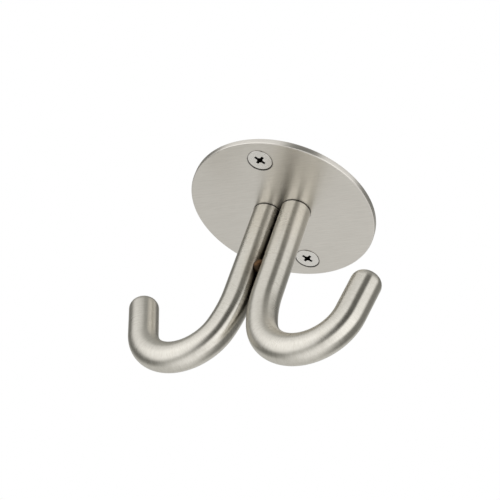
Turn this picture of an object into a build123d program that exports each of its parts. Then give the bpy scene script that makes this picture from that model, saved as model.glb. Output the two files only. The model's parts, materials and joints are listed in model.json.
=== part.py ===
"""Double ceiling hook: a round plate, two bent bars tacked together, and the two screws that hold it up.

Frame: millimetres, +Z up into the ceiling, origin at the centre of the plate's ceiling face.
The bars of the two hooks stand side by side on the X axis, hang along -Z and curl apart in the XZ plane.
The screws sit one on each side of the bars, on a line that runs nearly along Y.
"""

import os
from math import cos, radians, sin, tan

from build123d import *

# Ceiling plate
plate_diameter = 63.5
plate_thickness = 2.0
plate_front_rounding = 0.3
plate_back_chamfer = 0.1

# Hooks, bent from round bar: a straight run, an easy lead into the bend, the bend and a straight tip.
# Bend angles count from the straight run, and the left hook is bent a little less.
bar_diameter = 10.0
bar_gap = 0.7
straight_length = 36.2
lead_radius = 42.0
lead_angle = 18.7
bend_radius = 15.5
right_bend_angle = 168.8
left_bend_angle = 160.2
tip_length = 15.4
tip_rounding = 3.6
shoulder_chamfer = 0.25

# Spigot at the top of each hook, spread flush at the back of the plate
spigot_diameter = 6.0
spigot_head_diameter = 7.6
spigot_head_angle = 90.0
spigot_clearance = 0.05

# Mounting screws
screw_spacing = 47.6
screw_line_turn = 4.8
screw_offset_x = 1.2
screw_offset_y = -0.4
screw_length = 9.5
screw_diameter = 4.2
screw_point_length = 3.7
screw_tip_diameter = 0.4
screw_head_diameter = 8.1
screw_head_rim = 0.2
screw_head_angle = 90.0
screw_head_proud = 0.25
screw_hole_clearance = 0.4

# Cross recess in the screw heads
recess_span = 4.0
recess_foot_span = 1.6
recess_slot_width = 0.95
recess_core_diameter = 2.0
recess_depth = 2.2
recess_turn = 57.0

# Tack weld in the groove between the bars
weld_depth_below_plate = 25.8
weld_length = 5.2
weld_width = 4.4
weld_offset = 1.4

bar_radius = bar_diameter / 2
bar_offset = bar_radius + bar_gap / 2
plate_front = -plate_thickness


def cone_height(wide, narrow, angle):
    """Height of a cone that narrows from one diameter to another at this full angle."""
    return (wide - narrow) / 2 / tan(radians(angle / 2))


def turned(points, axis_x=0.0, axis_y=0.0):
    """A solid turned about a vertical axis from (radius, height) points that start and end on the axis."""
    outline = make_face(Polyline(*[(radius, 0, height) for radius, height in points], close=True))
    return Pos(axis_x, axis_y, 0) * revolve(outline, Axis.Z)


def spigot_outline(clearance):
    """Spigot and its spread head, from the shoulder on the plate's front up to the ceiling face."""
    radius = spigot_diameter / 2 + clearance
    head_radius = spigot_head_diameter / 2 + clearance
    head_height = cone_height(spigot_head_diameter, spigot_diameter, spigot_head_angle)
    return [(0, plate_front), (radius, plate_front), (radius, -head_height), (head_radius, 0), (0, 0)]


def screw_head_outline(clearance):
    """Countersink cone of a screw head with its hole, cut from below the plate to above it."""
    rim_top = plate_front - screw_head_proud + screw_head_rim
    shank_radius = screw_diameter / 2 + clearance
    head_radius = screw_head_diameter / 2
    slope = tan(radians(screw_head_angle / 2))
    hole_start = rim_top + (head_radius - shank_radius) / slope
    below = plate_front - plate_thickness
    flare = head_radius + (rim_top - below) * slope
    return [(0, below), (flare, below), (shank_radius, hole_start), (shank_radius, plate_thickness),
            (0, plate_thickness)]


def screw_places():
    """Centres of the two screws, one on each side of the bars."""
    reach, turn = screw_spacing / 2, radians(screw_line_turn)
    return [(screw_offset_x - side * reach * sin(turn), screw_offset_y + side * reach * cos(turn))
            for side in (-1, 1)]


def make_plate():
    """Disc with a softened front edge, two countersunk screw holes and two spigot holes."""
    disc = Pos(0, 0, plate_front / 2) * Cylinder(plate_diameter / 2, plate_thickness)
    rims = disc.edges().filter_by(GeomType.CIRCLE).sort_by(Axis.Z)
    disc = fillet(rims.first, plate_front_rounding)
    disc = chamfer(disc.edges().filter_by(GeomType.CIRCLE).sort_by(Axis.Z).last, plate_back_chamfer)
    for x, y in screw_places():
        disc -= turned(screw_head_outline(screw_hole_clearance), x, y)
    for side in (-1, 1):
        disc -= turned(spigot_outline(spigot_clearance), side * bar_offset)
    return disc


def heading(turn):
    """Direction of the bar once it has turned this many degrees from straight down."""
    return Vector(sin(radians(turn)), 0, -cos(radians(turn)))


def inward(turn):
    """Direction from the bar's axis to the inside of its bend, at this turn."""
    return Vector(cos(radians(turn)), 0, sin(radians(turn)))


def bend(start, turn_from, turn_to, radius):
    """Arc of the bar's axis that carries on from a point and its turn to another turn."""
    centre = start + inward(turn_from) * radius
    middle = centre - inward((turn_from + turn_to) / 2) * radius
    end = centre - inward(turn_to) * radius
    return ThreePointArc(start, middle, end)


def make_hook(bend_angle):
    """Hook with its bar on the Z axis: straight down, bent up towards +X, and rounded at the tip."""
    top = Vector(0, 0, plate_front)
    lead_start = top + heading(0) * straight_length
    lead = bend(lead_start, 0, lead_angle, lead_radius)
    crook = bend(lead @ 1, lead_angle, bend_angle, bend_radius)
    tip = crook @ 1 + heading(bend_angle) * tip_length
    path = Line(top, lead_start) + lead + crook + Line(crook @ 1, tip)
    bar = sweep(Plane(top, z_dir=(0, 0, -1)) * Circle(bar_radius), path=path)
    ends = bar.edges().filter_by(GeomType.CIRCLE)
    bar = fillet(ends.sort_by_distance(tip).first, tip_rounding)
    ends = bar.edges().filter_by(GeomType.CIRCLE)
    bar = chamfer(ends.sort_by_distance(top).first, shoulder_chamfer)
    return bar + turned(spigot_outline(0))


def make_recess():
    """Tapered cross with a round core, pointing up from the face of a screw head at the origin."""
    half_top, half_foot = recess_span / 2, recess_foot_span / 2
    side = Polyline((-half_top, 0, 0), (half_top, 0, 0), (half_foot, 0, recess_depth),
                    (-half_foot, 0, recess_depth), close=True)
    wing = extrude(make_face(side), recess_slot_width / 2, both=True)
    core = turned([(0, 0), (recess_core_diameter / 2, 0), (recess_slot_width / 2, recess_depth), (0, recess_depth)])
    return Rot(0, 0, recess_turn) * (wing + Rot(0, 0, 90) * wing + core)


def make_screw(x, y):
    """Countersunk screw whose head stands a little proud of the plate's front."""
    face = plate_front - screw_head_proud
    rim_top = face + screw_head_rim
    head_radius, shank_radius = screw_head_diameter / 2, screw_diameter / 2
    shank_start = rim_top + cone_height(screw_head_diameter, screw_diameter, screw_head_angle)
    end = face + screw_length
    outline = [(0, face), (head_radius, face), (head_radius, rim_top), (shank_radius, shank_start),
               (shank_radius, end - screw_point_length), (screw_tip_diameter / 2, end), (0, end)]
    return turned(outline, x, y) - Pos(x, y, face) * make_recess()


def make_weld(hooks):
    """Bead that fills the groove between the bars on the front side and wets both of them."""
    centre_z = plate_front - weld_depth_below_plate
    other_half = Pos(-weld_width / 2, 0) * Rectangle(weld_width, weld_length)
    half_bead = Plane.XZ * (Ellipse(weld_width / 2, weld_length / 2) - other_half)
    bead = Pos(0, -weld_offset, centre_z) * revolve(half_bead, Axis.Z)
    for hook in hooks:
        bead -= hook
    return bead.solids().sort_by(SortBy.VOLUME).last


right_hook = Pos(bar_offset, 0, 0) * make_hook(right_bend_angle)
left_hook = Rot(0, 0, 180) * Pos(bar_offset, 0, 0) * make_hook(left_bend_angle)
nodes = {
    "ceiling_plate": make_plate(),
    "left_hook": left_hook,
    "right_hook": right_hook,
    "tack_weld": make_weld([left_hook, right_hook]),
    "mounting_screws": Compound(children=[make_screw(x, y) for x, y in screw_places()]),
}

os.makedirs("parts", exist_ok=True)
for name, shape in nodes.items():
    export_step(shape, f"parts/{name}.step")
    print(name, len(shape.solids()), "solid", round(shape.volume, 1), "mm3")
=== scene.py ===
# %% [markdown]
# # A double ceiling hook in brushed steel
# The real thing is a round plate, two bent bars, a spot of weld between them and two screws. The packed
# model has all of these at their true size. This lesson gives each piece a clean mesh with brushing
# directions, a procedural finish, and a small light tent to stand in. Lengths are metres, +Z points up into
# the ceiling.

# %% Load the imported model
import json
from math import atan2, cos, hypot, pi, radians, sin

import bpy
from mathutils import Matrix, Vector


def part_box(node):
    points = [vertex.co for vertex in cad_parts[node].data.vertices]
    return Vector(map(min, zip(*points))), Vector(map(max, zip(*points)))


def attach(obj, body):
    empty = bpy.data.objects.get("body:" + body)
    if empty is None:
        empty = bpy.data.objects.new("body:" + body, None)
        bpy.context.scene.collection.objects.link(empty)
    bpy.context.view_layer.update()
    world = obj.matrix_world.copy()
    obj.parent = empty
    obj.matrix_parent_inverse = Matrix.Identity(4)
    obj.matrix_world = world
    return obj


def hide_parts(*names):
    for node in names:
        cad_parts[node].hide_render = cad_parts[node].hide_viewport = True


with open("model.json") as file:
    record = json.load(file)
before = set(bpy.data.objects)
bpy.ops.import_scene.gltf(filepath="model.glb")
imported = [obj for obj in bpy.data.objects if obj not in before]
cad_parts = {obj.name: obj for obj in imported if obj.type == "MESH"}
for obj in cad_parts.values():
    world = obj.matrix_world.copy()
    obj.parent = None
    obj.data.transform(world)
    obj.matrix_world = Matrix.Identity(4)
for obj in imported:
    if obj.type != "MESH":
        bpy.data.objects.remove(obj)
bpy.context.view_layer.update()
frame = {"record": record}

mounts = {mount["name"]: mount for mount in frame["record"]["mounts"]}
millimetre = 0.001

# %% [markdown]
# ## The camera
# The portrait looks up at the hook from below, from the side where the weld shows. A constraint could aim
# the camera at the object, but a fixed place and turn repeat the portrait's framing exactly. The long lens
# keeps the plate's circle and the two bends free of distortion. It comes first: every later choice is
# judged through it.

# %% Camera
camera_place = (0.21756, -0.280117, -0.296834)
camera_turn = (129.5506, -15.7846, 26.0834)
lens_length = 99.169
sensor_width = 36.0
bpy.ops.object.select_all(action="DESELECT")
bpy.ops.object.camera_add(location=camera_place, rotation=[radians(angle) for angle in camera_turn])
camera = bpy.context.object
camera.name = "portrait_camera"
camera.data.lens = lens_length
camera.data.sensor_width = sensor_width
bpy.context.scene.camera = camera
print("camera", round(Vector(camera_place).length, 3), "m from the plate")

# %% [markdown]
# ## Turned forms
# Most pieces here began on a lathe or could have. A filled circle is extruded ring by ring through a list
# of (radius, height) points, and each new ring is scaled about its own centre. A curve tool could spin an
# outline too, but ring by ring every edge lands where the drawing puts it and the caps stay closed.

# %% Helpers for turned forms
smooth_angle = radians(30.0)
size_tolerance = 1e-6


def select_only(piece):
    """Makes a piece the only selected one, and the active one."""
    bpy.ops.object.select_all(action="DESELECT")
    piece.select_set(True)
    bpy.context.view_layer.objects.active = piece


def apply_place(piece):
    """Moves a piece's place, turn and scale into its mesh."""
    select_only(piece)
    bpy.ops.object.transform_apply(location=True, rotation=True, scale=True)


def next_ring(shift, centre, scale):
    """Extrudes the selected end of a form and scales the new ring about its centre."""
    bpy.ops.mesh.extrude_region_move(TRANSFORM_OT_translate={"value": shift})
    if abs(scale - 1) > size_tolerance:
        bpy.ops.transform.resize(value=(scale, scale, scale), center_override=centre)


def start_form(sides, radius, centre):
    """Begins a form with a filled circle, all of it selected, in edit mode."""
    bpy.ops.object.select_all(action="DESELECT")
    bpy.ops.mesh.primitive_circle_add(vertices=sides, radius=radius, fill_type="NGON", location=centre,
                                      enter_editmode=True)


def grow_rings(outline, axis=(0.0, 0.0)):
    """Extrudes the selected cap along an upright axis through the rest of a (radius, height) outline."""
    for (radius, height), (next_radius, next_height) in zip(outline, outline[1:]):
        next_ring((0, 0, next_height - height), (*axis, next_height), next_radius / radius)


def finish_form(name):
    """Leaves edit mode with the faces pointing outwards and the place of the form in its mesh."""
    bpy.ops.mesh.select_all(action="SELECT")
    bpy.ops.mesh.normals_make_consistent(inside=False)
    bpy.ops.object.mode_set(mode="OBJECT")
    piece = bpy.context.object
    piece.name = name
    piece.data.name = name
    apply_place(piece)
    bpy.ops.object.shade_smooth_by_angle(angle=smooth_angle)
    return piece


def turned_form(name, outline, sides, axis=(0.0, 0.0)):
    """A closed form turned about an upright axis."""
    radius, height = outline[0]
    start_form(sides, radius, (*axis, height))
    grow_rings(outline, axis)
    return finish_form(name)

# %% [markdown]
# ## The ceiling plate
# A disc of sheet steel with a softened front edge. A Bevel modifier could round the edge of a cylinder, but
# here the rounding is drawn as rings of its own, and one extra ring just inside it keeps the flat face flat
# when the edge is shaded smooth.

# %% Disc of the plate
plate_low, plate_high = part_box("ceiling_plate")
plate_radius = (plate_high.x - plate_low.x) / 2
plate_front = plate_low.z
plate_rounding = 0.3 * millimetre
plate_back_chamfer = 0.1 * millimetre
plate_sides = 240
rounding_steps = 6
support_width = 0.4 * millimetre


def quarter_turn(steps):
    """Angles from 0 to a quarter turn, in equal steps."""
    return [radians(90.0 * step / steps) for step in range(steps + 1)]


def plate_outline():
    """Rings of the disc from the ceiling face round the rim to the flat of the front."""
    back_radius = plate_radius - plate_back_chamfer
    rings = [(back_radius - support_width, 0.0), (back_radius, 0.0), (plate_radius, -plate_back_chamfer)]
    for angle in quarter_turn(rounding_steps):
        rings.append((plate_radius - plate_rounding * (1 - cos(angle)),
                      plate_front + plate_rounding * (1 - sin(angle))))
    rings.append((plate_radius - plate_rounding - support_width, plate_front))
    return rings


plate = turned_form("brushed_plate", plate_outline(), plate_sides)
print("plate radius", round(plate_radius, 5), "front at", round(plate_front, 5))

# %% [markdown]
# Two countersunk holes take the screws, and two bores that flare at the back take the bars' spigots. They
# could be modelled into the disc's faces by hand, but turned cutters and a Boolean modifier work as the
# drill did on the real plate. Each cutter reaches a little past the faces, so that no thin skin is left.

# %% Holes of the plate
screw_mount = mounts["ceiling_screws"]
screw_middle = Vector(screw_mount["pos_m"])
screw_line_turn = radians(4.8)
screw_line = Vector((-sin(screw_line_turn), cos(screw_line_turn), 0))
screw_reach = screw_line * screw_mount["dims"]["pcd_mm"] / 2 * millimetre
screw_places = [(screw_middle + side * screw_reach)[:2] for side in (-1, 1)]
shank_radius = screw_mount["dims"]["stud_r_mm"] * millimetre
head_radius = 4.05 * millimetre
head_rim = 0.2 * millimetre
head_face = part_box("mounting_screws")[0].z
rim_top = head_face + head_rim
hole_clearance = 0.4 * millimetre
hole_radius = shank_radius + hole_clearance
bar_radius = 5.0 * millimetre
bar_gap = 0.7 * millimetre
bar_offset = bar_radius + bar_gap / 2
spigot_radius = 3.0 * millimetre
spigot_head_radius = 3.8 * millimetre
spigot_clearance = 0.05 * millimetre
past_face = 0.5 * millimetre
hole_sides = 64


def cut_away(piece, cutter):
    """Takes a cutter's shape out of a piece, and the cutter out of the scene."""
    select_only(piece)
    cut = piece.modifiers.new("cut", "BOOLEAN")
    cut.operation = "DIFFERENCE"
    cut.solver = "EXACT"
    cut.object = cutter
    bpy.ops.object.modifier_apply(modifier=cut.name)
    bpy.ops.object.shade_smooth_by_angle(angle=smooth_angle)
    bpy.data.objects.remove(cutter)


countersink = [(head_radius + rim_top - plate_front + past_face, plate_front - past_face),
               (hole_radius, rim_top + head_radius - hole_radius), (hole_radius, past_face)]
for place in screw_places:
    cut_away(plate, turned_form("countersink", countersink, hole_sides, place))
spigot_hole = spigot_radius + spigot_clearance
spigot_flare = spigot_head_radius + spigot_clearance
spigot_bore = [(spigot_hole, plate_front - past_face), (spigot_hole, spigot_radius - spigot_head_radius),
               (spigot_flare + past_face, past_face)]
for side in (-1, 1):
    cut_away(plate, turned_form("spigot_bore", spigot_bore, hole_sides, (side * bar_offset, 0.0)))
print("plate with four holes:", len(plate.data.polygons), "faces")

# %% [markdown]
# The sheet was brushed in straight strokes along X before the disc was cut, so its UV map is simply the
# sheet seen flat, with no unwrapping. The narrow upright walls have no width in that view and are unrolled
# instead.

# %% Brushing directions of the plate
flat_enough = 0.3


def turn_near(middle, x, y):
    """Turn of a point about the axis, given within half a turn of a face's middle."""
    return (atan2(y, x) - middle + pi) % (2 * pi) - pi + middle


def map_sheet(piece):
    """UV map in metres: flat faces as seen from above, upright walls unrolled round the plate's axis."""
    layer = piece.data.uv_layers.new(name="brushing")
    for face in piece.data.polygons:
        is_flat = abs(face.normal.z) > flat_enough
        middle = atan2(face.center.y, face.center.x)
        for corner in face.loop_indices:
            point = piece.data.vertices[piece.data.loops[corner].vertex_index].co
            unrolled_place = (turn_near(middle, point.x, point.y) * plate_radius, point.z)
            layer.data[corner].uv = (point.x, point.y) if is_flat else unrolled_place


map_sheet(plate)
print("plate has the map", plate.data.uv_layers[0].name)

# %% [markdown]
# ## The hooks
# Each hook is one length of round bar: a spigot turned at the top, a straight run, an easy lead into a
# tighter bend, and a short tip with a rounded end. The left hook was bent a little less than the right one.
# The two arcs are laid out first, as on a bender's drawing, and the inside of the bend is compared with the
# packed mount there.

# %% Layout of the bend
straight_length = 36.2 * millimetre
lead_radius = 42.0 * millimetre
lead_angle = radians(18.7)
bend_radius = 15.5 * millimetre
bend_angles = {"right_hook": radians(168.8), "left_hook": radians(160.2)}


def heading(turn):
    """Direction of the bar once it has turned this far from straight down."""
    return Vector((sin(turn), 0, -cos(turn)))


def inward(turn):
    """Direction from the bar's axis to the inside of its bend."""
    return Vector((cos(turn), 0, sin(turn)))


lead_start = Vector((0, 0, plate_front - straight_length))
lead_centre = lead_start + inward(0) * lead_radius
bend_centre = lead_centre - inward(lead_angle) * (lead_radius - bend_radius)
bend_floor = bend_centre + heading(0) * (bend_radius - bar_radius)
seat_height = mounts["right_hook_seat"]["pos_m"][2]
print("inside of the bend lies", round((bend_floor.z - seat_height) / millimetre, 3), "mm off its mount")

# %% [markdown]
# A bevelled curve could give the bent bar quickly, but its rings would miss the ends of the arcs. So the
# bar grows the way a bender feeds and turns it: extruded down through spigot, shoulder and straight run,
# spun about the two centres, and extruded again for the tip, where the last rings shrink to a dome.

# %% Hook meshes
tip_length = 15.4 * millimetre
tip_rounding = 3.6 * millimetre
shoulder_chamfer = 0.25 * millimetre
bar_sides = 96
lead_steps = 16
bend_steps = 64
dome_steps = 8


def model_hook(name, bend_angle):
    """A hook with its bar on the Z axis, curling towards +X."""
    outline = [(spigot_head_radius, 0.0), (spigot_radius, spigot_radius - spigot_head_radius),
               (spigot_radius, plate_front), (bar_radius - shoulder_chamfer, plate_front),
               (bar_radius, plate_front - shoulder_chamfer), (bar_radius, lead_start.z)]
    start_form(bar_sides, spigot_head_radius, (0, 0, 0))
    grow_rings(outline)
    bpy.ops.mesh.spin(steps=lead_steps, angle=lead_angle, center=lead_centre, axis=(0, 1, 0))
    bpy.ops.mesh.spin(steps=bend_steps, angle=bend_angle - lead_angle, center=bend_centre, axis=(0, 1, 0))
    bend_end = bend_centre - inward(bend_angle) * bend_radius
    end, radius = bend_end, bar_radius
    for angle in quarter_turn(dome_steps):
        reach = tip_length - tip_rounding * (1 - sin(angle))
        next_end = bend_end + heading(bend_angle) * reach
        next_radius = bar_radius - tip_rounding * (1 - cos(angle))
        next_ring(next_end - end, next_end, next_radius / radius)
        end, radius = next_end, next_radius
    return finish_form(name)


right_hook = model_hook("right_hook_bar", bend_angles["right_hook"])
left_hook = model_hook("left_hook_bar", bend_angles["left_hook"])
for piece in (right_hook, left_hook):
    lowest = min(vertex.co.z for vertex in piece.data.vertices)
    print(piece.name, len(piece.data.polygons), "faces, lowest", round(lowest, 5))

# %% [markdown]
# The bar was brushed while it was straight, so its pattern must bend with it. Unwrapping would leave a seam
# that cuts the strokes. Instead every point gets the place it had on the straight bar as an attribute,
# which has no seam, and a UV map whose U runs along the bar gives the shader its brushing direction.

# %% Unbend the bars
lead_along = -lead_start.z
bend_along = lead_along + lead_angle * lead_radius
just_past = 1e-6
cap_depth = 1e-7


def unrolled(point, centre, radius, turn, along):
    """A point of an arc on the straight bar, where the arc starts at this turn and place along the bar."""
    across, down = centre.x - point.x, centre.z - point.z
    return Vector((radius - hypot(across, down), point.y, along + (atan2(down, across) - turn) * radius))


def on_straight_bar(point, bend_angle):
    """Where a point of the bent bar lay on the straight one: inward, sideways and along."""
    before_bend = point.x < bend_centre.x
    if before_bend and point.z >= lead_start.z:
        return Vector((point.x, point.y, -point.z))
    lead_turn = atan2(lead_centre.z - point.z, lead_centre.x - point.x)
    if before_bend and lead_turn <= lead_angle + just_past:
        return unrolled(point, lead_centre, lead_radius, 0, lead_along)
    from_bend_end = point - bend_centre + inward(bend_angle) * bend_radius
    past_bend = from_bend_end.dot(heading(bend_angle))
    if past_bend > 0 and point.x > bend_centre.x:
        tip_along = bend_along + (bend_angle - lead_angle) * bend_radius
        return Vector((from_bend_end.dot(inward(bend_angle)), point.y, tip_along + past_bend))
    return unrolled(point, bend_centre, bend_radius, lead_angle, bend_along)


def map_bar(piece, bend_angle):
    """Stores the straight bar's coordinates, and a UV map with U along the bar and V around it."""
    places = [on_straight_bar(vertex.co, bend_angle) for vertex in piece.data.vertices]
    stored = piece.data.attributes.new("straight_bar", "FLOAT_VECTOR", "POINT")
    stored.data.foreach_set("vector", [x for place in places for x in place])
    layer = piece.data.uv_layers.new(name="brushing")
    for face in piece.data.polygons:
        corners = [places[piece.data.loops[i].vertex_index] for i in face.loop_indices]
        is_cap = max(c.z for c in corners) - min(c.z for c in corners) < cap_depth
        middle = sum(corners, Vector()) / len(corners)
        around = atan2(middle.y, middle.x)
        for i, corner in zip(face.loop_indices, corners):
            round_bar = turn_near(around, corner.x, corner.y) * bar_radius
            layer.data[i].uv = (corner.x, corner.y) if is_cap else (corner.z, round_bar)


for piece, node in ((right_hook, "right_hook"), (left_hook, "left_hook")):
    map_bar(piece, bend_angles[node])
    print(piece.name, "has", piece.data.attributes["straight_bar"].name, "and", piece.data.uv_layers[0].name)

# %% [markdown]
# Both bars still hang on the Z axis. They could stay there and be moved as objects, but a pattern on Object
# coordinates would move along. So each is set beside the axis, the left one turned half round, and its
# place is applied to its mesh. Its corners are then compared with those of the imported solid.

# %% Set the hooks side by side
for piece, node, turn in ((right_hook, "right_hook", 0.0), (left_hook, "left_hook", pi)):
    piece.location = (bar_offset * cos(turn), 0, 0)
    piece.rotation_euler = (0, 0, turn)
    apply_place(piece)
    low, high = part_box(node)
    points = [vertex.co for vertex in piece.data.vertices]
    difference = max((Vector(map(min, *points)) - low).length, (Vector(map(max, *points)) - high).length)
    print(piece.name, "differs from its solid by", round(difference / millimetre, 4), "mm")

# %% [markdown]
# ## The tack weld
# One touch of the welding torch: a small bead that fills the groove between the bars, with the ripples it
# froze in. Such a blob could be sculpted, but here a sphere is stretched to the bead's size, its rings are
# pinched in turn for the ripples, and the bars are cut out of it, so that it truly sits on them. The number
# of segments is one at which this cut leaves no stray slivers.

# %% Tack weld
weld_low, weld_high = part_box("tack_weld")
weld_length = weld_high.z - weld_low.z
weld_width = 4.4 * millimetre
weld_centre = Vector((0, (weld_low.y + weld_width / 2), (weld_low.z + weld_high.z) / 2))
weld_segments = 72
weld_rings = 40
weld_smooth_angle = radians(40.0)
ripple_depth = 0.04
ripple_count = 7
ripple_sway = 2.0
ripple_sway_rate = 900.0


def pinch_at(point):
    """Share of its width that the bead keeps at a point, less in the trough of each ripple."""
    height = (point.z - weld_centre.z) / weld_length
    wave = cos(height * ripple_count * 2 * pi + ripple_sway * sin(point.x * ripple_sway_rate))
    return 1 - ripple_depth * (0.5 + 0.5 * wave)


bpy.ops.object.select_all(action="DESELECT")
bpy.ops.mesh.primitive_uv_sphere_add(segments=weld_segments, ring_count=weld_rings, radius=0.5,
                                     location=weld_centre)
weld = bpy.context.object
weld.name = "weld_bead"
weld.scale = (weld_width, weld_width, weld_length)
apply_place(weld)
for vertex in weld.data.vertices:
    pinch = pinch_at(vertex.co)
    vertex.co.x = weld_centre.x + (vertex.co.x - weld_centre.x) * pinch
    vertex.co.y = weld_centre.y + (vertex.co.y - weld_centre.y) * pinch
for bar in (left_hook, right_hook):
    select_only(bar)
    bpy.ops.object.duplicate()
    cut_away(weld, bpy.context.object)
bpy.ops.object.shade_smooth_by_angle(angle=weld_smooth_angle)
print("weld", round(weld_length / millimetre, 2), "mm long,", len(weld.data.polygons), "faces")

# %% [markdown]
# ## The screws
# Short countersunk tapping screws with a cross recess. The cross could be painted on the head, but light
# falls into a real one, so two wings and a round core are cut out of it. A wing is a stretched cube whose
# foot is drawn in.

# %% Cutters for the recess
recess_span = 4.0 * millimetre
recess_foot = 1.6 * millimetre
recess_width = 0.95 * millimetre
recess_depth = 2.2 * millimetre
recess_turn = radians(57.0)
recess_lift = 0.001 * millimetre
core_radius = 1.0 * millimetre
core_sides = 48
facing_up = 0.5


def recess_wing(turn):
    """One wing of the cross, tapered along its span, pointing up from the face of a head on the Z axis."""
    bpy.ops.object.select_all(action="DESELECT")
    bpy.ops.mesh.primitive_cube_add(size=1.0, location=(0, 0, head_face + recess_depth / 2))
    wing = bpy.context.object
    wing.scale = (recess_span, recess_width, recess_depth)
    apply_place(wing)
    bpy.ops.object.mode_set(mode="EDIT")
    bpy.ops.mesh.select_all(action="DESELECT")
    bpy.ops.object.mode_set(mode="OBJECT")
    for face in wing.data.polygons:
        face.select = face.normal.z > facing_up
    bpy.ops.object.mode_set(mode="EDIT")
    foot_share = recess_foot / recess_span
    bpy.ops.transform.resize(value=(foot_share, 1, 1), center_override=(0, 0, head_face + recess_depth))
    bpy.ops.object.mode_set(mode="OBJECT")
    wing.rotation_euler = (0, 0, turn)
    wing.location.z = -recess_lift
    apply_place(wing)
    return wing


def recess_core():
    """The round middle of the cross, narrowing to the width of a wing."""
    outline = [(core_radius, head_face - recess_lift), (recess_width / 2, head_face + recess_depth)]
    return turned_form("recess_core", outline, core_sides)


print("recess tapers from", recess_span, "to", recess_foot, "m over a depth of", recess_depth, "m")

# %% [markdown]
# Threads are too fine for the solids, so they are made here. A Screw modifier could wind a ridge of one
# size, but a real ridge starts low under the head and fades towards the point. A curve along a helix with a
# blunt triangle as its section does that, because each of its points has a size of its own.

# %% Thread
screw_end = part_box("mounting_screws")[1].z
neck = rim_top + head_radius - shank_radius
point_length = 3.7 * millimetre
point_start = screw_end - point_length
root_radius = 1.55 * millimetre
thread_pitch = 1.4 * millimetre
thread_base = 0.5 * millimetre
thread_crest = 0.08 * millimetre
thread_sink = 0.05 * millimetre
thread_steps = 32
first_turn, bare_turns = 0.3, 0.8
first_size, least_size = 0.15, 0.05
merge_distance = 1e-7


def helix_points():
    """Points (x, y, z, size) along the root of the thread, from the neck to the point."""
    turns = (screw_end - neck) / thread_pitch - bare_turns
    points = []
    for i in range(int(turns * thread_steps) + 1):
        height = neck + thread_pitch * (first_turn + i / thread_steps)
        fade = min(1.0, max(least_size, (screw_end - height) / point_length))
        start = min(1.0, first_size + i / thread_steps)
        radius = root_radius * fade - thread_sink
        angle = 2 * pi * i / thread_steps
        points.append((radius * cos(angle), radius * sin(angle), height, min(fade, start)))
    return points


def section_points():
    """Corners (x, y, z, size) of the ridge, sunk a little into the root."""
    depth = shank_radius - root_radius + thread_sink
    return [(0, -thread_base / 2, 0, 1), (depth, -thread_crest / 2, 0, 1), (depth, thread_crest / 2, 0, 1),
            (0, thread_base / 2, 0, 1)]


def straight_runs(name, points, dimensions, closed):
    """A curve object of straight runs through (x, y, z, size) points."""
    curve = bpy.data.curves.new(name, "CURVE")
    curve.dimensions = dimensions
    line = curve.splines.new("POLY")
    line.use_cyclic_u = closed
    line.points.add(len(points) - 1)
    for point, (x, y, z, size) in zip(line.points, points):
        point.co = (x, y, z, 1)
        point.radius = size
    piece = bpy.data.objects.new(name, curve)
    bpy.context.scene.collection.objects.link(piece)
    return piece


def thread_ridge():
    """The thread's ridge as a closed mesh."""
    section = straight_runs("thread_section", section_points(), "2D", closed=True)
    ridge = straight_runs("thread", helix_points(), "3D", closed=False)
    ridge.data.twist_mode = "Z_UP"
    ridge.data.bevel_mode = "OBJECT"
    ridge.data.bevel_object = section
    ridge.data.use_fill_caps = True
    select_only(ridge)
    bpy.ops.object.convert(target="MESH")
    bpy.data.objects.remove(section)
    bpy.ops.object.mode_set(mode="EDIT")
    bpy.ops.mesh.select_all(action="SELECT")
    bpy.ops.mesh.remove_doubles(threshold=merge_distance)
    bpy.ops.mesh.normals_make_consistent(inside=False)
    bpy.ops.object.mode_set(mode="OBJECT")
    return bpy.context.object


print("thread of", round(len(helix_points()) / thread_steps, 1), "turns")

# %% [markdown]
# Head and core are turned, the recess is cut, and the ridge is joined on. The second screw could be
# modelled the same way, but on the real object it came out of the same box: it is a copy with its own mesh.

# %% Screws in place
head_edge = 0.06 * millimetre
neck_taper = 0.3 * millimetre
tip_radius = 0.2 * millimetre
screw_sides = 72


def model_screw(name):
    """One screw on the Z axis, with its recess cut and its thread joined on."""
    outline = [(head_radius - head_edge, head_face), (head_radius, head_face + head_edge),
               (head_radius, rim_top), (shank_radius, neck), (root_radius, neck + neck_taper),
               (root_radius, point_start), (tip_radius, screw_end)]
    screw = turned_form(name, outline, screw_sides)
    for turn in (recess_turn, recess_turn + pi / 2):
        cut_away(screw, recess_wing(turn))
    cut_away(screw, recess_core())
    ridge = thread_ridge()
    select_only(screw)
    ridge.select_set(True)
    bpy.ops.object.join()
    bpy.ops.object.shade_smooth_by_angle(angle=smooth_angle)
    return screw


front_screw = model_screw("front_screw")
bpy.ops.object.duplicate()
back_screw = bpy.context.object
back_screw.name = "back_screw"
for screw, place in zip((front_screw, back_screw), screw_places):
    screw.location = (*place, 0)
    apply_place(screw)
    print(screw.name, "at", [round(x, 5) for x in place], "has", len(screw.data.polygons), "faces")

# %% [markdown]
# ## Hanging the pieces on the frame
# Nothing on this object moves, so every piece rides on the one body, and each stands for the solid it
# follows. The solids could be shown themselves, but their loose triangles have no brushing directions.

# %% Ride and replace
dressed = ((plate, "ceiling_plate", "plate_steel"), (left_hook, "left_hook", "bar_steel"),
           (right_hook, "right_hook", "bar_steel"), (weld, "tack_weld", "weld_metal"),
           (front_screw, "mounting_screws", "screw_steel"), (back_screw, "mounting_screws", "screw_steel"))
for piece, node, slot in dressed:
    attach(piece, "root")
    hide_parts(node)
    print(piece.name, "stands for", node)

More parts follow.
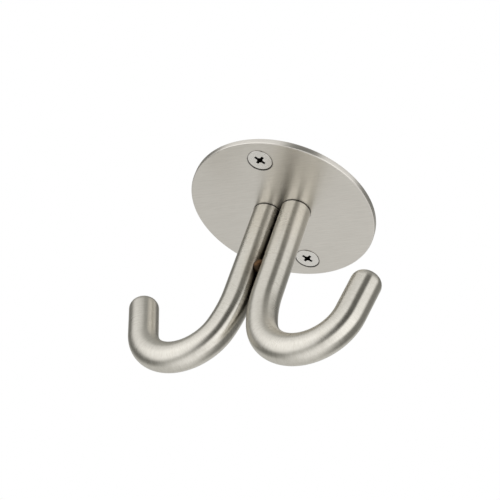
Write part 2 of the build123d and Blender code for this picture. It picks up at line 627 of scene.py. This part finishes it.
# %% [markdown]
# ## Finishes
# Brushed steel is bright metal with very fine scratches in one direction. A picture of scratches would
# repeat and blur up close, while noise stretched along the strokes never does. Three things carry the look:
# slightly uneven roughness along the strokes, a faint bump, and an anisotropic highlight that smears across
# the strokes. The helpers below place nodes as one would by hand, so that each finish reads as a short
# recipe.

# %% Node helpers
mix_first, mix_second, mix_result = 6, 7, 2


def feed(tree, socket, value):
    """Links a socket to a socket, or sets its value."""
    if isinstance(value, bpy.types.NodeSocket):
        tree.links.new(value, socket)
    else:
        socket.default_value = value


def math_node(tree, operation, *values):
    """A math node's result."""
    node = tree.nodes.new("ShaderNodeMath")
    node.operation = operation
    for socket, value in zip(node.inputs, values):
        feed(tree, socket, value)
    return node.outputs[0]


def vector_node(tree, operation, first, second):
    """A vector math node's outputs."""
    node = tree.nodes.new("ShaderNodeVectorMath")
    node.operation = operation
    feed(tree, node.inputs[0], first)
    feed(tree, node.inputs[1], second)
    return node.outputs


def ranged(tree, value, low, high, new_low, new_high, smooth=False):
    """A value moved from one range to another and held inside it."""
    node = tree.nodes.new("ShaderNodeMapRange")
    node.interpolation_type = "SMOOTHSTEP" if smooth else "LINEAR"
    limits = {"Value": value, "From Min": low, "From Max": high, "To Min": new_low, "To Max": new_high}
    for name, number in limits.items():
        feed(tree, node.inputs[name], number)
    return node.outputs["Result"]


def noise(tree, vector, scale, detail=2.0, roughness=0.5):
    """Noise between 0 and 1."""
    node = tree.nodes.new("ShaderNodeTexNoise")
    feed(tree, node.inputs["Vector"], vector)
    node.inputs["Scale"].default_value = scale
    node.inputs["Detail"].default_value = detail
    node.inputs["Roughness"].default_value = roughness
    return node.outputs["Fac"]


def mixed(tree, factor, first, second):
    """Two colours mixed. The sockets are numbered, because a mix node has several of the same name."""
    node = tree.nodes.new("ShaderNodeMix")
    node.data_type = "RGBA"
    feed(tree, node.inputs["Factor"], factor)
    feed(tree, node.inputs[mix_first], first)
    feed(tree, node.inputs[mix_second], second)
    return node.outputs[mix_result]


def weighed(tree, share, first, second):
    """A share of one value and the rest of another."""
    part = math_node(tree, "MULTIPLY", first, share)
    return math_node(tree, "ADD", part, math_node(tree, "MULTIPLY", second, 1 - share))

# %% [markdown]
# Strokes and grime appear in more than one finish. The nodes could be repeated in each material, but a node
# group is built once and placed with its own values. The first one is the grain of a brushed surface.

# %% Brushed grain group
line_scale, line_roughness = 5200.0, 0.6
streak_scale = 1500.0
cloud_scale, cloud_detail = 110.0, 3.0


def start_group(name, inputs, outputs):
    """An empty shader node group with its sockets, given as name and kind pairs."""
    group = bpy.data.node_groups.new(name, "ShaderNodeTree")
    for in_out, sockets in (("INPUT", inputs), ("OUTPUT", outputs)):
        for socket, kind in sockets:
            group.interface.new_socket(socket, in_out=in_out, socket_type="NodeSocket" + kind)
    given = group.nodes.new("NodeGroupInput").outputs
    result = group.nodes.new("NodeGroupOutput").inputs
    return group, given, result


def use_group(tree, group, **values):
    """Places a group in a material, feeds its inputs and gives its outputs."""
    node = tree.nodes.new("ShaderNodeGroup")
    node.node_tree = group
    for name, value in values.items():
        feed(tree, node.inputs[name], value)
    return node.outputs


def make_brushed_grain():
    """Group: brush strokes as fine lines, broader streaks and soft clouds, all between 0 and 1."""
    group, given, result = start_group("brushed_grain", [("Place", "Vector"), ("Stretch", "Vector")],
                                       [("Lines", "Float"), ("Streaks", "Float"), ("Clouds", "Float")])
    strokes = vector_node(group, "MULTIPLY", given["Place"], given["Stretch"])["Vector"]
    feed(group, result["Lines"], noise(group, strokes, line_scale, roughness=line_roughness))
    feed(group, result["Streaks"], noise(group, strokes, streak_scale))
    feed(group, result["Clouds"], noise(group, given["Place"], cloud_scale, cloud_detail))
    return group


brushed_grain = make_brushed_grain()
print(brushed_grain.name, "gives", [socket.name for socket in brushed_grain.interface.items_tree])

# %% [markdown]
# Grime settles where a brush never reaches, in the seam under each bar. The same mask also paints shade into
# the gap between the bars and a shadow round the screw heads. Either could be painted by hand, but a mask
# that follows a distance fits any seam, and a little noise makes its edge uneven.

# %% Grime and painted shade group
usual_noise = (0.3, 0.7)
waver_scale = 1800.0
reach_waver = (0.75, 1.25)
# Near black: grime in the seams under the bars, and painted shade between the bars and at the screw heads.
grime_and_shade_colour = (0.022, 0.019, 0.016, 1)


def make_grime_and_shade():
    """Group: 1 where a distance is nothing, falling to 0 at a reach that wavers a little."""
    inputs = [("Place", "Vector"), ("Distance", "Float"), ("Reach", "Float")]
    group, given, result = start_group("grime_and_shade", inputs, [("Mask", "Float")])
    waver = ranged(group, noise(group, given["Place"], waver_scale), *usual_noise, *reach_waver)
    reach = math_node(group, "MULTIPLY", given["Reach"], waver)
    feed(group, result["Mask"], ranged(group, given["Distance"], 0.0, reach, 1.0, 0.0, smooth=True))
    return group


grime_and_shade = make_grime_and_shade()
print(grime_and_shade.name, "wavers between", reach_waver)

# %% [markdown]
# Heat tint is the thin oxide that welding leaves on the bars, and it goes from straw over brown to a
# brownish grey close to the bead. A colour ramp over the distance would do the same; separate rings are
# easier to adjust one by one. The rings are stretched along the bars, because heat runs along them.

# %% Heat tint group
tint_squeeze = 0.4
tint_core = 0.55
tint_rings = (
    # reach in metres, depth, colour
    (6.5 * millimetre, 0.20, (0.46, 0.41, 0.28, 1)),
    (4.2 * millimetre, 0.35, (0.28, 0.21, 0.13, 1)),
    (2.9 * millimetre, 0.50, (0.14, 0.115, 0.10, 1)),
)
blot_scale, blot_detail = 500.0, 3.0
blot_reach = 0.4 * millimetre


def make_heat_tint():
    """Group: the colour that welding heat leaves on a metal of a given colour, by closeness to the bead."""
    inputs = [("Place", "Vector"), ("Metal", "Color")]
    group, given, result = start_group("heat_tint", inputs, [("Color", "Color")])
    squeezed = vector_node(group, "MULTIPLY", given["Place"], (1.0, 1.0, tint_squeeze))["Vector"]
    bead = (weld_centre.x, weld_centre.y, weld_centre.z * tint_squeeze)
    away = vector_node(group, "DISTANCE", squeezed, bead)["Value"]
    blots = noise(group, given["Place"], blot_scale, blot_detail)
    distance = math_node(group, "ADD", away, ranged(group, blots, *usual_noise, -blot_reach, blot_reach))
    colour = given["Metal"]
    for reach, depth, tint in tint_rings:
        mask = ranged(group, distance, reach, reach * tint_core, 0.0, depth, smooth=True)
        colour = mixed(group, mask, colour, tint)
    feed(group, result["Color"], colour)
    return group


heat_tint = make_heat_tint()
print(heat_tint.name, "has", len(tint_rings), "rings")

# %% [markdown]
# Plate and bars share one recipe: strokes tint the steel, make it rougher and smoother by turns and raise a
# faint bump, and the UV map's tangent turns the highlight. Two unlike materials would be simpler to write,
# but the two steels would drift apart with every change.

# %% Steel recipe
line_share = 0.6
cloud_share = 0.5
rough_spread = 0.03
bump_strength = 0.06
bump_height = 0.02 * millimetre


def new_finish(name):
    """A new material, its node tree and its shader."""
    material = bpy.data.materials.new(name)
    material.use_nodes = True
    return material, material.node_tree, material.node_tree.nodes["Principled BSDF"]


def steel_material(name, pattern, dark, light, rough, anisotropic, rotation):
    """Brushed steel. pattern(tree) gives the strokes' places and stretch, and a function that soils them and
    paints shade on them.
    """
    material, tree, shader = new_finish(name)
    place, stretch, finish = pattern(tree)
    grain = use_group(tree, brushed_grain, Place=place, Stretch=stretch)
    tone = weighed(tree, line_share, grain["Lines"], grain["Streaks"])
    steel = mixed(tree, ranged(tree, tone, *usual_noise, 0.0, 1.0), dark, light)
    colour, dirt_and_shade = finish(steel)
    # Seam grime and painted shade darken the base colour here.
    feed(tree, shader.inputs["Base Color"], mixed(tree, dirt_and_shade, colour, grime_and_shade_colour))
    shader.inputs["Metallic"].default_value = 1.0
    uneven = weighed(tree, cloud_share, grain["Clouds"], grain["Streaks"])
    roughness = ranged(tree, uneven, *usual_noise, rough - rough_spread, rough + rough_spread)
    feed(tree, shader.inputs["Roughness"], roughness)
    shader.inputs["Anisotropic"].default_value = anisotropic
    shader.inputs["Anisotropic Rotation"].default_value = rotation
    tangent = tree.nodes.new("ShaderNodeTangent")
    tangent.direction_type = "UV_MAP"
    tangent.uv_map = "brushing"
    feed(tree, shader.inputs["Tangent"], tangent.outputs["Tangent"])
    bump = tree.nodes.new("ShaderNodeBump")
    bump.inputs["Strength"].default_value = bump_strength
    bump.inputs["Distance"].default_value = bump_height
    feed(tree, bump.inputs["Height"], grain["Lines"])
    feed(tree, shader.inputs["Normal"], bump.outputs["Normal"])
    print(name, "is", len(tree.nodes), "nodes")
    return material

# %% [markdown]
# The sheet's strokes run along X. Grime lies in a thin ring round each bar, and a painted shadow lies round
# each screw head, heavier on one side than on the other. Distances from the known axes find those places
# without a texture image.

# %% Plate steel
seam_reach = 0.6 * millimetre
# Painted shadow round the screw heads: its reach, and how far its ring lies off each screw's axis.
shadow_reach = 0.5 * millimetre
shadow_shift = Vector((-0.3, 0.55)) * millimetre
sheet_stretch = (0.06, 1.0, 1.0)


def object_place(tree):
    """Place on a piece, in metres."""
    return tree.nodes.new("ShaderNodeTexCoord").outputs["Object"]


def split(tree, vector):
    """The three parts of a vector."""
    node = tree.nodes.new("ShaderNodeSeparateXYZ")
    feed(tree, node.inputs[0], vector)
    return node.outputs


def length_of(tree, across, along):
    """Length of a flat vector with these two parts."""
    squares = [math_node(tree, "POWER", part, 2.0) for part in (across, along)]
    return math_node(tree, "SQRT", math_node(tree, "ADD", *squares))


def beyond(tree, value, start):
    """How far a value lies past a start, and nothing before it."""
    return math_node(tree, "MAXIMUM", math_node(tree, "SUBTRACT", value, start), 0.0)


def from_screws(tree, x, y):
    """Distance from the axis of the nearer screw."""
    reaches = []
    for screw_x, screw_y in screw_places:
        across = math_node(tree, "SUBTRACT", x, screw_x)
        reaches.append(length_of(tree, across, math_node(tree, "SUBTRACT", y, screw_y)))
    return math_node(tree, "MINIMUM", *reaches)


def sheet_strokes(tree):
    """Strokes along X of the plate, a soiled seam round each bar and painted shadow round the screw heads."""
    place = object_place(tree)
    x, y, z = split(tree, place)

    def finish(steel):
        from_bar = length_of(tree, math_node(tree, "SUBTRACT", math_node(tree, "ABSOLUTE", x), bar_offset), y)
        gap = beyond(tree, from_bar, bar_radius - shoulder_chamfer)
        seam = use_group(tree, grime_and_shade, Place=place, Distance=gap, Reach=seam_reach)["Mask"]
        # Painted shadow round each screw head. The ring is shifted to one side, so it is heavier there.
        ring_x = math_node(tree, "SUBTRACT", x, shadow_shift.x)
        ring_y = math_node(tree, "SUBTRACT", y, shadow_shift.y)
        gap = beyond(tree, from_screws(tree, ring_x, ring_y), head_radius)
        ring = use_group(tree, grime_and_shade, Place=place, Distance=gap, Reach=shadow_reach)["Mask"]
        on_front = math_node(tree, "LESS_THAN", z, plate_front / 2)
        return steel, math_node(tree, "MULTIPLY", math_node(tree, "MAXIMUM", seam, ring), on_front)

    return place, sheet_stretch, finish


plate_steel = steel_material("plate_finish", sheet_strokes, dark=(0.775, 0.745, 0.69, 1),
                             light=(0.875, 0.845, 0.79, 1), rough=0.30, anisotropic=0.75, rotation=0.25)

# %% [markdown]
# The bars were brushed round and round, so their strokes circle them, and the highlight smears along the
# bar. Grime fills the seam under the plate, shade is painted into the gap between the bars, and the weld's
# heat has tinted the steel near it. The strokes read the straight bar's places, so they follow the bend with
# no seam.

# %% Bar steel
# Painted shade in the gap between the bars: black close in, fainter further out.
groove_shade = (
    # reach in metres, depth
    (0.35 * millimetre, 1.0),
    (2.0 * millimetre, 0.62),
)
parting_slope = 0.1
bar_stretch = (0.16, 0.16, 1.0)


def bar_strokes(tree):
    """Strokes round a bar, its seam soiled and shade painted on the side that faces the other bar."""
    stored = tree.nodes.new("ShaderNodeAttribute")
    stored.attribute_name = "straight_bar"
    place = stored.outputs["Vector"]
    parts = split(tree, place)
    inward_part, along = parts["X"], parts["Z"]

    def finish(steel):
        tinted = use_group(tree, heat_tint, Place=object_place(tree), Metal=steel)["Color"]
        seam = math_node(tree, "ABSOLUTE", math_node(tree, "ADD", along, plate_front))
        dirt_and_shade = use_group(tree, grime_and_shade, Place=place, Distance=seam, Reach=seam_reach)["Mask"]
        parting = math_node(tree, "MULTIPLY", beyond(tree, along, lead_along), parting_slope)
        groove = math_node(tree, "ADD", math_node(tree, "ADD", inward_part, bar_radius), parting)
        # Painted shade on the side that faces the other bar, fading as the bars part.
        for reach, depth in groove_shade:
            mask = use_group(tree, grime_and_shade, Place=place, Distance=groove, Reach=reach)["Mask"]
            dirt_and_shade = math_node(tree, "MAXIMUM", dirt_and_shade, math_node(tree, "MULTIPLY", mask, depth))
        return tinted, dirt_and_shade

    return place, bar_stretch, finish


bar_steel = steel_material("bar_finish", bar_strokes, dark=(0.657, 0.632, 0.567, 1),
                           light=(0.823, 0.798, 0.73, 1), rough=0.29, anisotropic=0.88, rotation=0.0)

# %% [markdown]
# The screws are bright plated steel with a fine speckle. Shade is painted black into their recesses, and a
# lighter painted shade lies on the wall round each head. A second material on the recess faces would need
# each face picked out; height and distance from the axis find them as well.

# %% Screw finish
speckle_scale, speckle_detail = 2500.0, 3.0
screw_dark, screw_light = (0.83, 0.81, 0.77, 1), (0.92, 0.90, 0.86, 1)
screw_rough = (0.2, 0.3)
recess_shade = (head_face + 0.04 * millimetre, head_face + 0.09 * millimetre)
recess_margin = 0.2 * millimetre
# Share of painted shade on the wall round each head, and the roughness added where shade is painted.
wall_shade = 0.6
shaded_rough = 0.4


def make_screw_steel():
    """Bright plated steel, with shade painted black inside the recess and darker on the wall round the head.
    """
    material, tree, shader = new_finish("screw_finish")
    place = object_place(tree)
    x, y, height = split(tree, place)
    speckle = noise(tree, place, speckle_scale, speckle_detail)
    bright = mixed(tree, speckle, screw_dark, screw_light)
    # Painted shade: black in the recess and darker on the wall round the head.
    depth = ranged(tree, height, *recess_shade, 0.0, 1.0)
    reach = recess_span / 2
    dark = ranged(tree, from_screws(tree, x, y), reach, reach + recess_margin, 1.0, wall_shade)
    hidden = math_node(tree, "MULTIPLY", depth, dark)
    hidden = math_node(tree, "MULTIPLY", hidden, math_node(tree, "LESS_THAN", height, 0.0))
    feed(tree, shader.inputs["Base Color"], mixed(tree, hidden, bright, grime_and_shade_colour))
    shader.inputs["Metallic"].default_value = 1.0
    rough = ranged(tree, speckle, *usual_noise, *screw_rough)
    dull = math_node(tree, "MULTIPLY", hidden, shaded_rough)
    feed(tree, shader.inputs["Roughness"], math_node(tree, "ADD", rough, dull))
    return material


screw_steel = make_screw_steel()
print(screw_steel.name, "is", len(screw_steel.node_tree.nodes), "nodes")

# %% [markdown]
# The weld bead is dark brown oxide, blotched where it cooled unevenly. One brown would look like a drop of
# paint, so noise mixes two. Shade is painted on as well: distance from an off-centre crown darkens the bead's
# edge, most where it meets the bars.

# %% Weld finish
bead_scale, bead_detail, bead_roughness = 700.0, 4.0, 0.6
bead_noise = (0.35, 0.65)
bead_dark, bead_light = (0.065, 0.034, 0.016, 1), (0.20, 0.112, 0.055, 1)
# Colour of the painted shade at the bead's edge.
bead_edge_shade = (0.04, 0.027, 0.016, 1)
bead_rough = (0.35, 0.55)
bead_crown = Vector((-0.2, -1.9, 0.7)) * millimetre
crown_reach = 2.3 * millimetre


def make_weld_metal():
    """Weld bead under its oxide, with shade painted dark where it meets the bars."""
    material, tree, shader = new_finish("weld_finish")
    place = object_place(tree)
    blot = noise(tree, place, bead_scale, bead_detail, bead_roughness)
    bead = mixed(tree, ranged(tree, blot, *bead_noise, 0.0, 1.0), bead_dark, bead_light)
    # Painted shade: the bead darkens away from its off-centre crown, towards where it meets the bars.
    away = vector_node(tree, "DISTANCE", place, weld_centre + bead_crown)["Value"]
    rim = ranged(tree, away, crown_reach / 2, crown_reach, 0.0, 1.0, smooth=True)
    feed(tree, shader.inputs["Base Color"], mixed(tree, rim, bead, bead_edge_shade))
    shader.inputs["Metallic"].default_value = 1.0
    feed(tree, shader.inputs["Roughness"], ranged(tree, blot, *usual_noise, *bead_rough))
    return material


weld_metal = make_weld_metal()
finishes = {"plate_steel": plate_steel, "bar_steel": bar_steel, "screw_steel": screw_steel,
            "weld_metal": weld_metal}
for piece, node, slot in dressed:
    piece.data.materials.clear()
    piece.data.materials.append(finishes[slot])
    print(piece.name, "wears", finishes[slot].name)

# %% [markdown]
# ## The light tent
# Brushed metal shows its surroundings more than itself. The portrait looks as if it was taken in a ring of
# white panels: one to the left of the camera, one to the right, a dimmer one behind the object, and dark
# gaps between them. The gap at the camera, where the camera itself adds some black, is the dark line along
# every bar. Lamps and cards could stand round the object, but a world shader that paints the tent by
# direction is smoother and quicker.

# %% Panels of the tent
panels = {
    # left and right edge as (degrees round Z, softness, lean), brightness, foot fades from and to, in degrees
    "left of the camera": ((-154.5, 9.0, 0.0), (-76.0, 8.0, 0.1), 1.09, -32.0, -67.0),
    "right of the camera": ((-38.5, 6.0, 0.2), (19.5, 11.0, 0.1), 1.14, -24.0, -65.0),
    "behind the object": ((76.0, 14.0, 0.0), (162.0, 14.0, 0.0), 0.46, -34.0, -63.0),
    "glow beside the back panel": ((22.0, 12.0, 0.0), (66.0, 12.0, 0.0), 0.09, 22.0, -10.0),
    "black of the camera": ((-68.0, 8.0, 0.1), (-43.0, 6.0, 0.2), -0.10, -10.0, -36.0),
}
dim_from, dim_full, dim_share = 0.0, 36.0, 0.66
world = bpy.data.worlds.new("light_tent")
bpy.context.scene.world = world
world.use_nodes = True
sky = world.node_tree
direction = sky.nodes.new("ShaderNodeTexCoord").outputs["Generated"]
east, north, up = split(sky, direction)
azimuth = math_node(sky, "ARCTAN2", north, east)
elevation = math_node(sky, "ARCSINE", up)


def fade(angle, start, stop, first, last):
    """A smooth change from one value to another between two angles in degrees."""
    return ranged(sky, angle, radians(start), radians(stop), first, last, smooth=True)


def right_of(edge, softness, lean):
    """1 to the right of a panel's leaning edge, 0 to the left of it."""
    upright = math_node(sky, "SUBTRACT", azimuth, math_node(sky, "MULTIPLY", elevation, lean))
    return fade(upright, edge - softness, edge + softness, 0.0, 1.0)


def with_panels(light):
    """A brightness with every panel added, each dimmer towards the roof."""
    for left_edge, right_edge, brightness, foot_from, foot_full in panels.values():
        glow = math_node(sky, "SUBTRACT", right_of(*left_edge), right_of(*right_edge))
        glow = math_node(sky, "MULTIPLY", glow, fade(elevation, foot_from, foot_full, brightness, 0.0))
        glow = math_node(sky, "MULTIPLY", glow, fade(elevation, dim_from, dim_full, 1.0, dim_share))
        light = math_node(sky, "ADD", light, glow)
    return light


print("panels:", ", ".join(panels))

# %% [markdown]
# Below the ring of panels lies a bright floor that tilts a little, above it a soft grey roof that is
# lighter on one side. Both are blended in by elevation, because hard edges would show as lines in the
# metal. The camera itself sees plain white instead of the tent.

# %% Floor and roof of the tent
gap_brightness = 0.19
floor_brightness = 1.09
floor_from, floor_full = -28.0, -80.0
floor_tilt, floor_turn = radians(12.0), radians(35.0)
roof_from, roof_full = 34.0, 54.0
roof_brightness, roof_slope, roof_turn = 0.35, 0.28, radians(-95.0)
dim_tint, bright_tint = (1.0, 0.995, 0.925, 1), (0.99, 0.985, 0.985, 1)
white = (1, 1, 1, 1)


def towards(x, y, z):
    """How far the view direction points the way of a vector."""
    return vector_node(sky, "DOT_PRODUCT", direction, (x, y, z))["Value"]


def blended(first, second, share):
    """Two brightnesses, blended by the share of the second."""
    change = math_node(sky, "SUBTRACT", second, first)
    return math_node(sky, "ADD", first, math_node(sky, "MULTIPLY", change, share))


floor_up = -sin(floor_tilt) * cos(floor_turn), -sin(floor_tilt) * sin(floor_turn), cos(floor_tilt)
floor_elevation = math_node(sky, "ARCSINE", towards(*floor_up))
floor_share = fade(floor_elevation, floor_from, floor_full, 0.0, 1.0)
light = with_panels(blended(gap_brightness, floor_brightness, floor_share))
roof = math_node(sky, "MULTIPLY", towards(cos(roof_turn), sin(roof_turn), 0.0), roof_slope)
roof = math_node(sky, "ADD", roof, roof_brightness)
light = blended(light, roof, fade(elevation, roof_from, roof_full, 0.0, 1.0))
seen_by_camera = sky.nodes.new("ShaderNodeLightPath").outputs["Is Camera Ray"]
background = sky.nodes["Background"]
tent_tint = mixed(sky, light, dim_tint, bright_tint)
feed(sky, background.inputs["Color"], mixed(sky, seen_by_camera, tent_tint, white))
feed(sky, background.inputs["Strength"], math_node(sky, "MAXIMUM", seen_by_camera, light))
bpy.context.scene.view_settings.view_transform = "Standard"
print(world.name, "is", len(sky.nodes), "nodes")

# %% [markdown]
# ## The floor
# A plain pale floor lies well below the camera. In plain paint it would turn grey under so small a tent, so
# it glows faintly, as a light table does. It is kept out of the metal's reflections, where the tent's own
# bright bottom shows instead.

# %% Floor
floor_depth = 0.6
floor_size = 40.0
floor_glow = 0.36
floor_rough = 0.9
floor_scale = 6.0
floor_dark, floor_light = (0.84, 0.84, 0.84, 1), (0.88, 0.88, 0.88, 1)
bpy.ops.object.select_all(action="DESELECT")
bpy.ops.mesh.primitive_plane_add(size=floor_size, location=(0, 0, -floor_depth))
floor = bpy.context.object
floor.name = "pale_floor"
floor.visible_glossy = False
floor_paint, paint, floor_shader = new_finish("pale_floor")
mottle = noise(paint, object_place(paint), floor_scale)
feed(paint, floor_shader.inputs["Base Color"], mixed(paint, mottle, floor_dark, floor_light))
floor_shader.inputs["Roughness"].default_value = floor_rough
floor_shader.inputs["Emission Color"].default_value = white
floor_shader.inputs["Emission Strength"].default_value = floor_glow
floor.data.materials.append(floor_paint)
print(floor.name, floor_depth, "m below the ceiling")
